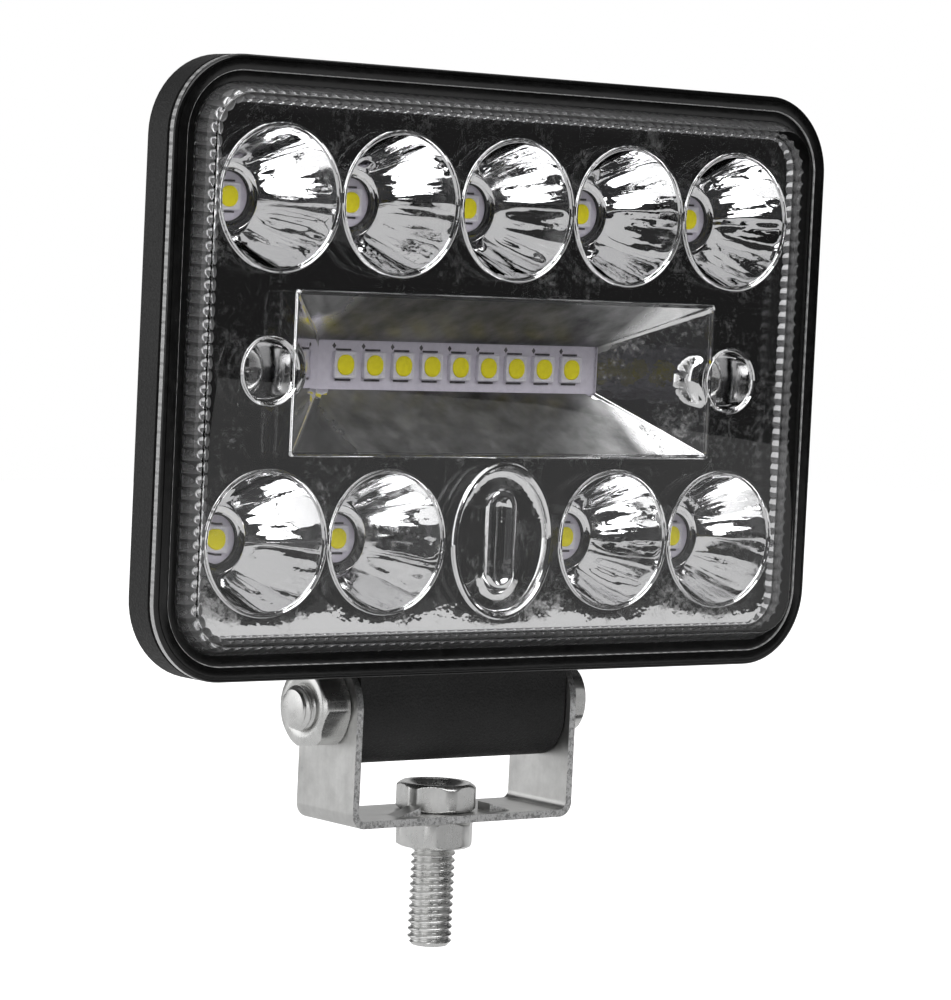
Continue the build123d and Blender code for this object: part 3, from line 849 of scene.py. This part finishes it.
def on_long_wall(x, depth, z):
    """Whether a face belongs to the trough's upper or lower wall, where the dark reflection is
    painted.
    """
    away_x = (TROUGH_HALF_W - abs(x)) / (TROUGH_HALF_W - SLOT_HALF_W)
    away_z = (TROUGH_HALF_H - abs(z - TROUGH_RISE)) / (TROUGH_HALF_H - SLOT_HALF_H)
    inward = depth - PLATE_FACE
    return 0.15 < inward < CUP_FLOOR - 0.05 and -0.02 < away_z < away_x


def on_hole_edge(x, depth, z):
    """Whether a face belongs to the edge of a bowl's LED hole, where the shade is painted."""
    near = min(hypot(x - cup_x, z - cup_z) for cup_x, cup_z in CUPS)
    return near < CUP_HOLE + 0.2 and depth > PLATE_FACE + CUP_FLOOR - 0.02


def plate_outline(inset):
    return rounded_rectangle(PLATE_HALF_W - inset, PLATE_HALF_H - inset, PLATE_CORNER - inset,
                             per_corner=12, per_side=30)


def fill_plate(surface, edge, holes):
    """Flat face between the plate's edge and its holes, as triangles."""
    flat, edges = [], []
    for outline in [edge] + holes:
        first = len(flat)
        flat.extend(Vector(point) for point in outline)
        count = len(outline)
        edges.extend((first + i, first + (i + 1) % count) for i in range(count))
    points, _, triangles, _, _, _ = triangulated(flat, edges)
    start = len(surface.points)
    surface.points.extend(plate_point(x, 0.0, z) for x, z in points)
    for triangle in triangles:
        middle = sum((points[v] for v in triangle), Vector((0, 0))) / 3
        if not any(inside_outline(middle, hole) for hole in holes):
            surface.flat_face(start + v for v in triangle)


def face_front(piece):
    """Turn an open shell's faces so that its flat plate faces forward."""
    mesh = piece.data
    forward = sum(p.area * p.normal.y for p in mesh.polygons)
    if forward > 0:
        mesh.flip_normals()


# ---------------------------------------------------------------- LEDs and board
PAD_HALF_W, PAD_HALF_H, PAD_GAP, PAD_THICK = 1.25, 0.13, 0.22, 0.06
MARK_HALF_W, MARK_HALF_H, MARK_THICK = 0.32, 0.4, 0.02
MARK_X, MARK_Z = -1.5, 2.45   # middle of a mark, from its LED's middle


def package_loops(x, z):
    """Square LED body with a shallow rim, standing on the board."""
    loops = []
    for inset, depth in ((0.0, BOARD_DEPTH), (0.0, PACKAGE_DEPTH + 0.08), (0.08, PACKAGE_DEPTH),
                         (0.36, PACKAGE_DEPTH), (0.42, PACKAGE_DEPTH + 0.06)):
        half = PACKAGE / 2 - inset
        outline = rounded_rectangle(half, half, max(0.12, 0.3 - inset), 6)
        loops.append(at_depth([(x + a, z + b) for a, b in outline], depth))
    return loops


def phosphor_loops(x, z):
    """Low yellow dome in the middle of a package."""
    loops = []
    for half, rise in ((1.33, -0.05), (1.33, 0.02), (1.28, 0.07), (1.1, 0.11), (0.7, 0.14),
                       (0.2, 0.15)):
        outline = rounded_rectangle(half, half, half * 0.9, 8)
        loops.append(at_depth([(x + a, z + b) for a, b in outline], PACKAGE_DEPTH - rise))
    return loops


def make_leds():
    """Packages, phosphors, solder pads and polarity marks."""
    package = speckled("led_package", (0.62, 0.60, 0.66), (0.74, 0.72, 0.78), 0.4)
    yellow = speckled("phosphor", (0.80, 0.70, 0.0), (0.92, 0.82, 0.002), 0.5, 1800.0, 0.00003)
    for name, spots in (("spot_led", CUPS), ("strip_led", STRIP)):
        body, glow = Surface(), Surface()
        for x, z in spots:
            body.skin(package_loops(x, z), capped=(True, True))
            glow.skin(phosphor_loops(x, z), capped=(True, True))
        finish_piece(f"{name}_frames", body, package, HEAD, [f"{name}_packages"])
        finish_piece(f"{name}_domes", glow, yellow, HEAD,
                     [f"{name}_phosphors"], crease=50)

    pads = Surface()
    for x, z in CUPS + STRIP:
        for side in (-1, 1):
            middle = z + side * (PACKAGE / 2 + PAD_GAP)
            pad = rounded_rectangle(PAD_HALF_W, PAD_HALF_H, 0.06, 3)
            outline = [(x + a, middle + b) for a, b in pad]
            pads.skin([at_depth(outline, BOARD_DEPTH),
                       at_depth(outline, BOARD_DEPTH - PAD_THICK)], capped=(True, True))
    solder = speckled("solder_mask", (0.03, 0.025, 0.03), (0.12, 0.11, 0.12), 0.45)
    finish_piece("solder_pads", pads, solder, HEAD)

    marks = Surface()
    for x, z in STRIP:
        diamond = [(x + MARK_X + a, z + MARK_Z + b)
                   for a, b in ((MARK_HALF_W, 0), (0, MARK_HALF_H),
                                (-MARK_HALF_W, 0), (0, -MARK_HALF_H))]
        marks.skin([at_depth(diamond, BOARD_DEPTH), at_depth(diamond, BOARD_DEPTH - MARK_THICK)],
                   capped=(True, True))
    finish_piece("polarity_marks", marks, solder, HEAD)


# ---------------------------------------------------------------- threads and hexagons
HEX_FLATS = 10.0
STUD_HEAD, PIVOT_HEAD = 3.8, 3.0
THREAD_RADIUS = 3.0
THREAD_DEPTH = 0.45
THREAD_PITCH = 1.0
TIP_CHAMFER, TIP_DOME = 0.55, 0.25
NUT_BORE = 2.7       # radius, between the thread's root and its crest
HEAD_OVERLAP = 0.3   # how far a shank reaches into its head
STUD_TURN, TILT_NUT_TURN = radians(-44.0), radians(8.0)
BOLT_ZINC = (0.82, 0.82, 0.81)


def along_axis(origin, axis, across):
    """A function from (radius, angle, height) about an axis to a point in metres."""
    origin, axis, across = Vector(origin), Vector(axis), Vector(across)
    other = axis.cross(across)

    def place(radius, angle, height):
        spoke = across * (radius * cos(angle)) + other * (radius * sin(angle))
        return tuple((origin + axis * height + spoke) * MM)
    return place


def thread_radius(height, angle, start, tip):
    """Radius of a rounded helical thread from start to tip, where it tapers off."""
    root_flat, flank, rounding = 0.10, 0.76, 0.35
    phase = ((height - start) / THREAD_PITCH - angle / tau) % 1.0
    crest = min(1.0, max(0.0, (abs(2 * phase - 1) - root_flat) / flank))
    crest = crest * crest * (3 - 2 * crest) * rounding + crest * (1 - rounding)
    radius = THREAD_RADIUS - THREAD_DEPTH * (1 - crest)
    taper = THREAD_RADIUS - TIP_CHAMFER + (tip - height)
    return min(radius, taper)


def threaded_shank(surface, place, start, tip):
    """Helical thread as a closed rod from start to tip."""
    around, rows_per_turn = 48, 12
    end = tip - TIP_DOME
    rows = ceil((end - start) / THREAD_PITCH * rows_per_turn)
    loops = []
    for row in range(rows + 1):
        height = start + (end - start) * row / rows
        loops.append([place(thread_radius(height, tau * i / around, start, end),
                            tau * i / around, height) for i in range(around)])
    for angle in range(15, 91, 15):
        radius = (THREAD_RADIUS - TIP_CHAMFER) * cos(radians(angle)) + 0.05
        rise = TIP_DOME * sin(radians(angle))
        loops.append([place(radius, tau * i / around, end + rise) for i in range(around)])
    surface.skin(loops, capped=(True, True))


def hexagon_radius(angle):
    """Distance to the side of the hexagon in a direction."""
    turn = (angle + pi / 6) % (pi / 3) - pi / 6
    return HEX_FLATS / 2 / cos(turn)


def hex_rows(thick, bore, dish):
    """Loops of (cone radius, height) for a hexagon whose corners are turned off both ends."""
    face, corner = 0.47 * HEX_FLATS, 0.54 * HEX_FLATS
    low_bevel, top_bevel = 0.55, 0.66
    shares = [step / 8 for step in range(9)]
    cones = [face + (corner - face) * sin(share * pi / 2) for share in shares]
    rows = [(cone, low_bevel * share) for cone, share in zip(cones, shares)]
    rows += [(cone, thick - top_bevel * share) for cone, share in zip(cones[::-1], shares[::-1])]
    if dish:
        rows += [(face - 0.25, thick), (face - 0.55, thick - 0.06), (face - 0.8, thick - 0.25),
                 (3.2, thick - 0.8), (2.9, thick - 0.9), (1.2, thick - 0.85)]
    if bore:
        rows += [(bore + 0.5, thick), (bore, thick - 0.35), (bore, 0.35), (bore + 0.5, 0.0)]
    return rows


def hexagon_block(surface, place, turn, thick, bore=0.0, dish=False):
    """Hex head or nut standing on height 0."""
    around = 120
    angles = [tau * i / around for i in range(around)]
    loops = [[place(min(cone, hexagon_radius(angle - turn)), angle, height) for angle in angles]
             for cone, height in hex_rows(thick, bore, dish)]
    if bore:
        surface.skin(loops, closed=True)
    else:
        surface.skin(loops, capped=(True, True))


def make_fasteners():
    """Stud bolt, pivot bolt and their nuts, with real threads."""
    bright = zinc("bolt_zinc", BOLT_ZINC, 0.27, (1.0, 1.0, 0.12))
    nut_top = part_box("mounting_nut")[1].z / MM
    bolt_low, bolt_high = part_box("mounting_bolt")
    seat = bolt_high.z / MM - STUD_HEAD
    stud_tip = -bolt_low.z / MM

    up = along_axis((0, 0, seat), (0, 0, 1), (1, 0, 0))
    down = along_axis((0, 0, 0), (0, 0, -1), (1, 0, 0))
    bolt = Surface()
    hexagon_block(bolt, up, STUD_TURN + pi / 6, STUD_HEAD, dish=True)
    threaded_shank(bolt, down, -seat - HEAD_OVERLAP, stud_tip)
    finish_piece("stud_bolt", bolt, bright, MOUNT, ["mounting_bolt"], crease=38)

    above = along_axis((0, 0, 0), (0, 0, 1), (1, 0, 0))
    nut = Surface()
    hexagon_block(nut, above, STUD_TURN, nut_top, bore=NUT_BORE)
    finish_piece("stud_nut", nut, bright, MOUNT, ["mounting_nut"], crease=38)

    pivot_low, pivot_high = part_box("pivot_bolt")
    head_seat = pivot_high.x / MM - PIVOT_HEAD
    tip = -pivot_low.x / MM
    right = along_axis((head_seat, 0, PIVOT_Z), (1, 0, 0), (0, 0, 1))
    left = along_axis((0, 0, PIVOT_Z), (-1, 0, 0), (0, 0, 1))
    bolt = Surface()
    hexagon_block(bolt, right, pi / 6, PIVOT_HEAD, dish=True)
    threaded_shank(bolt, left, -head_seat - HEAD_OVERLAP, tip)
    side_zinc = zinc("pivot_zinc", BOLT_ZINC, 0.27, (0.12, 1.0, 1.0))
    finish_piece("tilt_bolt", bolt, side_zinc, MOUNT, ["pivot_bolt"], crease=38)

    nut_low, nut_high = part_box("pivot_nut")
    out = along_axis((nut_high.x / MM, 0, PIVOT_Z), (-1, 0, 0), (0, 0, 1))
    nut = Surface()
    hexagon_block(nut, out, TILT_NUT_TURN, (nut_high.x - nut_low.x) / MM, bore=NUT_BORE)
    finish_piece("tilt_nut", nut, side_zinc, MOUNT, ["pivot_nut"], crease=38)


# ---------------------------------------------------------------- CAD nodes that stay
BLACK, WORN_BLACK = (0.012, 0.012, 0.012), (0.03, 0.03, 0.03)


def dress(node, material):
    """Give a CAD node its material."""
    mesh = frame["nodes"][node].data
    mesh.materials.clear()
    mesh.materials.append(material)


def dress_cad_nodes():
    """Materials of the nodes that are shown as the CAD made them."""
    dress("rear_housing", textured_black())
    dress("bracket", sheared_zinc("bracket_zinc", (0.70, 0.70, 0.69), 0.34, (0.15, 1.0, 0.15)))
    dress("led_board", speckled("board_mask", (0.58, 0.55, 0.63), (0.66, 0.63, 0.71), 0.45))
    dress("reflector_screws", zinc("screw_zinc", (0.70, 0.70, 0.70), 0.25, (1.0, 1.0, 1.0)))
    dress("lens_gasket", speckled("seal_rubber", BLACK, WORN_BLACK, 0.8))
    dress("cable_grommet", speckled("bush_rubber", BLACK, WORN_BLACK, 0.7))
    dress("thermal_pad", speckled("gap_pad", (0.38, 0.40, 0.44), (0.46, 0.48, 0.52), 0.8))
    chip = speckled("chip_epoxy", BLACK, WORN_BLACK, 0.6)
    dress("driver_chip", chip)
    dress("protection_diode", chip)
    dress("power_inductor", speckled("ferrite", (0.06, 0.06, 0.06), (0.12, 0.12, 0.12), 0.65))
    dress("smd_capacitors", speckled("capacitor", (0.34, 0.24, 0.14), (0.45, 0.33, 0.2), 0.5))
    dress("smd_resistors", speckled("resistor", (0.01, 0.01, 0.012), (0.05, 0.05, 0.05), 0.4))


# ---------------------------------------------------------------- studio
FLOOR_HALF = 1.6
FLOOR_LEVEL = cad_box[0][2] - 0.055


def make_floor():
    """Pale floor, a little below the stud's tip; reflections see a greyer card just above it."""
    half, level = FLOOR_HALF, FLOOR_LEVEL
    mesh = bpy.data.meshes.new("floor")
    mesh.from_pydata([(-half, -half, level), (half, -half, level),
                      (half, half, level), (-half, half, level)], [], [(0, 1, 2, 3)])
    surface = plain_material("floor", (0.9, 0.9, 0.9), roughness=0.7)
    shader = surface.node_tree.nodes["Principled BSDF"]
    shader.inputs["Emission Color"].default_value = (1.0, 1.0, 1.0, 1.0)
    shader.inputs["Emission Strength"].default_value = 0.95
    mesh.materials.append(surface)
    floor = bpy.data.objects.new("floor", mesh)
    bpy.context.collection.objects.link(floor)
    floor.visible_glossy = False
    floor.visible_transmission = False
    card("floor_card", (0, 0, level + 0.001), (0, 0, 1), 2 * half, 2 * half, 0.65)


def make_world():
    """White to the camera, grey to everything else."""
    world = bpy.data.worlds.new("studio")
    bpy.context.scene.world = world
    world.use_nodes = True
    tree = world.node_tree
    background = tree.nodes["Background"]
    background.inputs["Color"].default_value = (0.035, 0.035, 0.036, 1.0)
    white = tree.nodes.new("ShaderNodeBackground")
    white.inputs["Color"].default_value = (1.0, 1.0, 1.0, 1.0)
    path = tree.nodes.new("ShaderNodeLightPath")
    mix = tree.nodes.new("ShaderNodeMixShader")
    tree.links.new(path.outputs["Is Camera Ray"], mix.inputs[0])
    tree.links.new(background.outputs[0], mix.inputs[1])
    tree.links.new(white.outputs[0], mix.inputs[2])
    tree.links.new(mix.outputs[0], tree.nodes["World Output"].inputs["Surface"])


def make_studio():
    """World, floor, softboxes and cards, with the view settings."""
    make_world()
    make_floor()
    # name, place, width and height in metres, and watts
    softbox("key_left", (-1.2, -0.35, 0.52), 1.0, 1.2, 5.0)
    softbox("overhead", (0.1, -0.1, 1.3), 1.6, 1.2, 8.4)
    softbox("left_rear", (-1.0, 0.9, 0.3), 1.0, 1.2, 5.0)
    softbox("front_right", (0.2, -1.1, 1.0), 0.8, 0.5, 5.0)
    softbox("front_left", (-0.5, -0.75, 0.95), 0.7, 0.5, 3.3)
    # name, place, target, width, height and brightness: one lit card, and two dark flags
    card("right_rear", (0.9, 1.1, 0.35), LAMP_MIDDLE, 1.3, 0.9, 0.6)
    card("flag", (0.95, -1.2, 0.08), (0, 0, 0.07), 1.6, 0.38, 0.012)
    card("floor_flag", (0.12, -0.16, FLOOR_LEVEL + 0.003), (0.12, -0.16, 1), 0.22, 0.22, 0.03)
    view = bpy.context.scene.view_settings
    view.view_transform = "Standard"
    view.look = "None"


make_camera()
make_bezel()
make_lens()
make_reflector()
make_leds()
make_fasteners()
dress_cad_nodes()
make_studio()
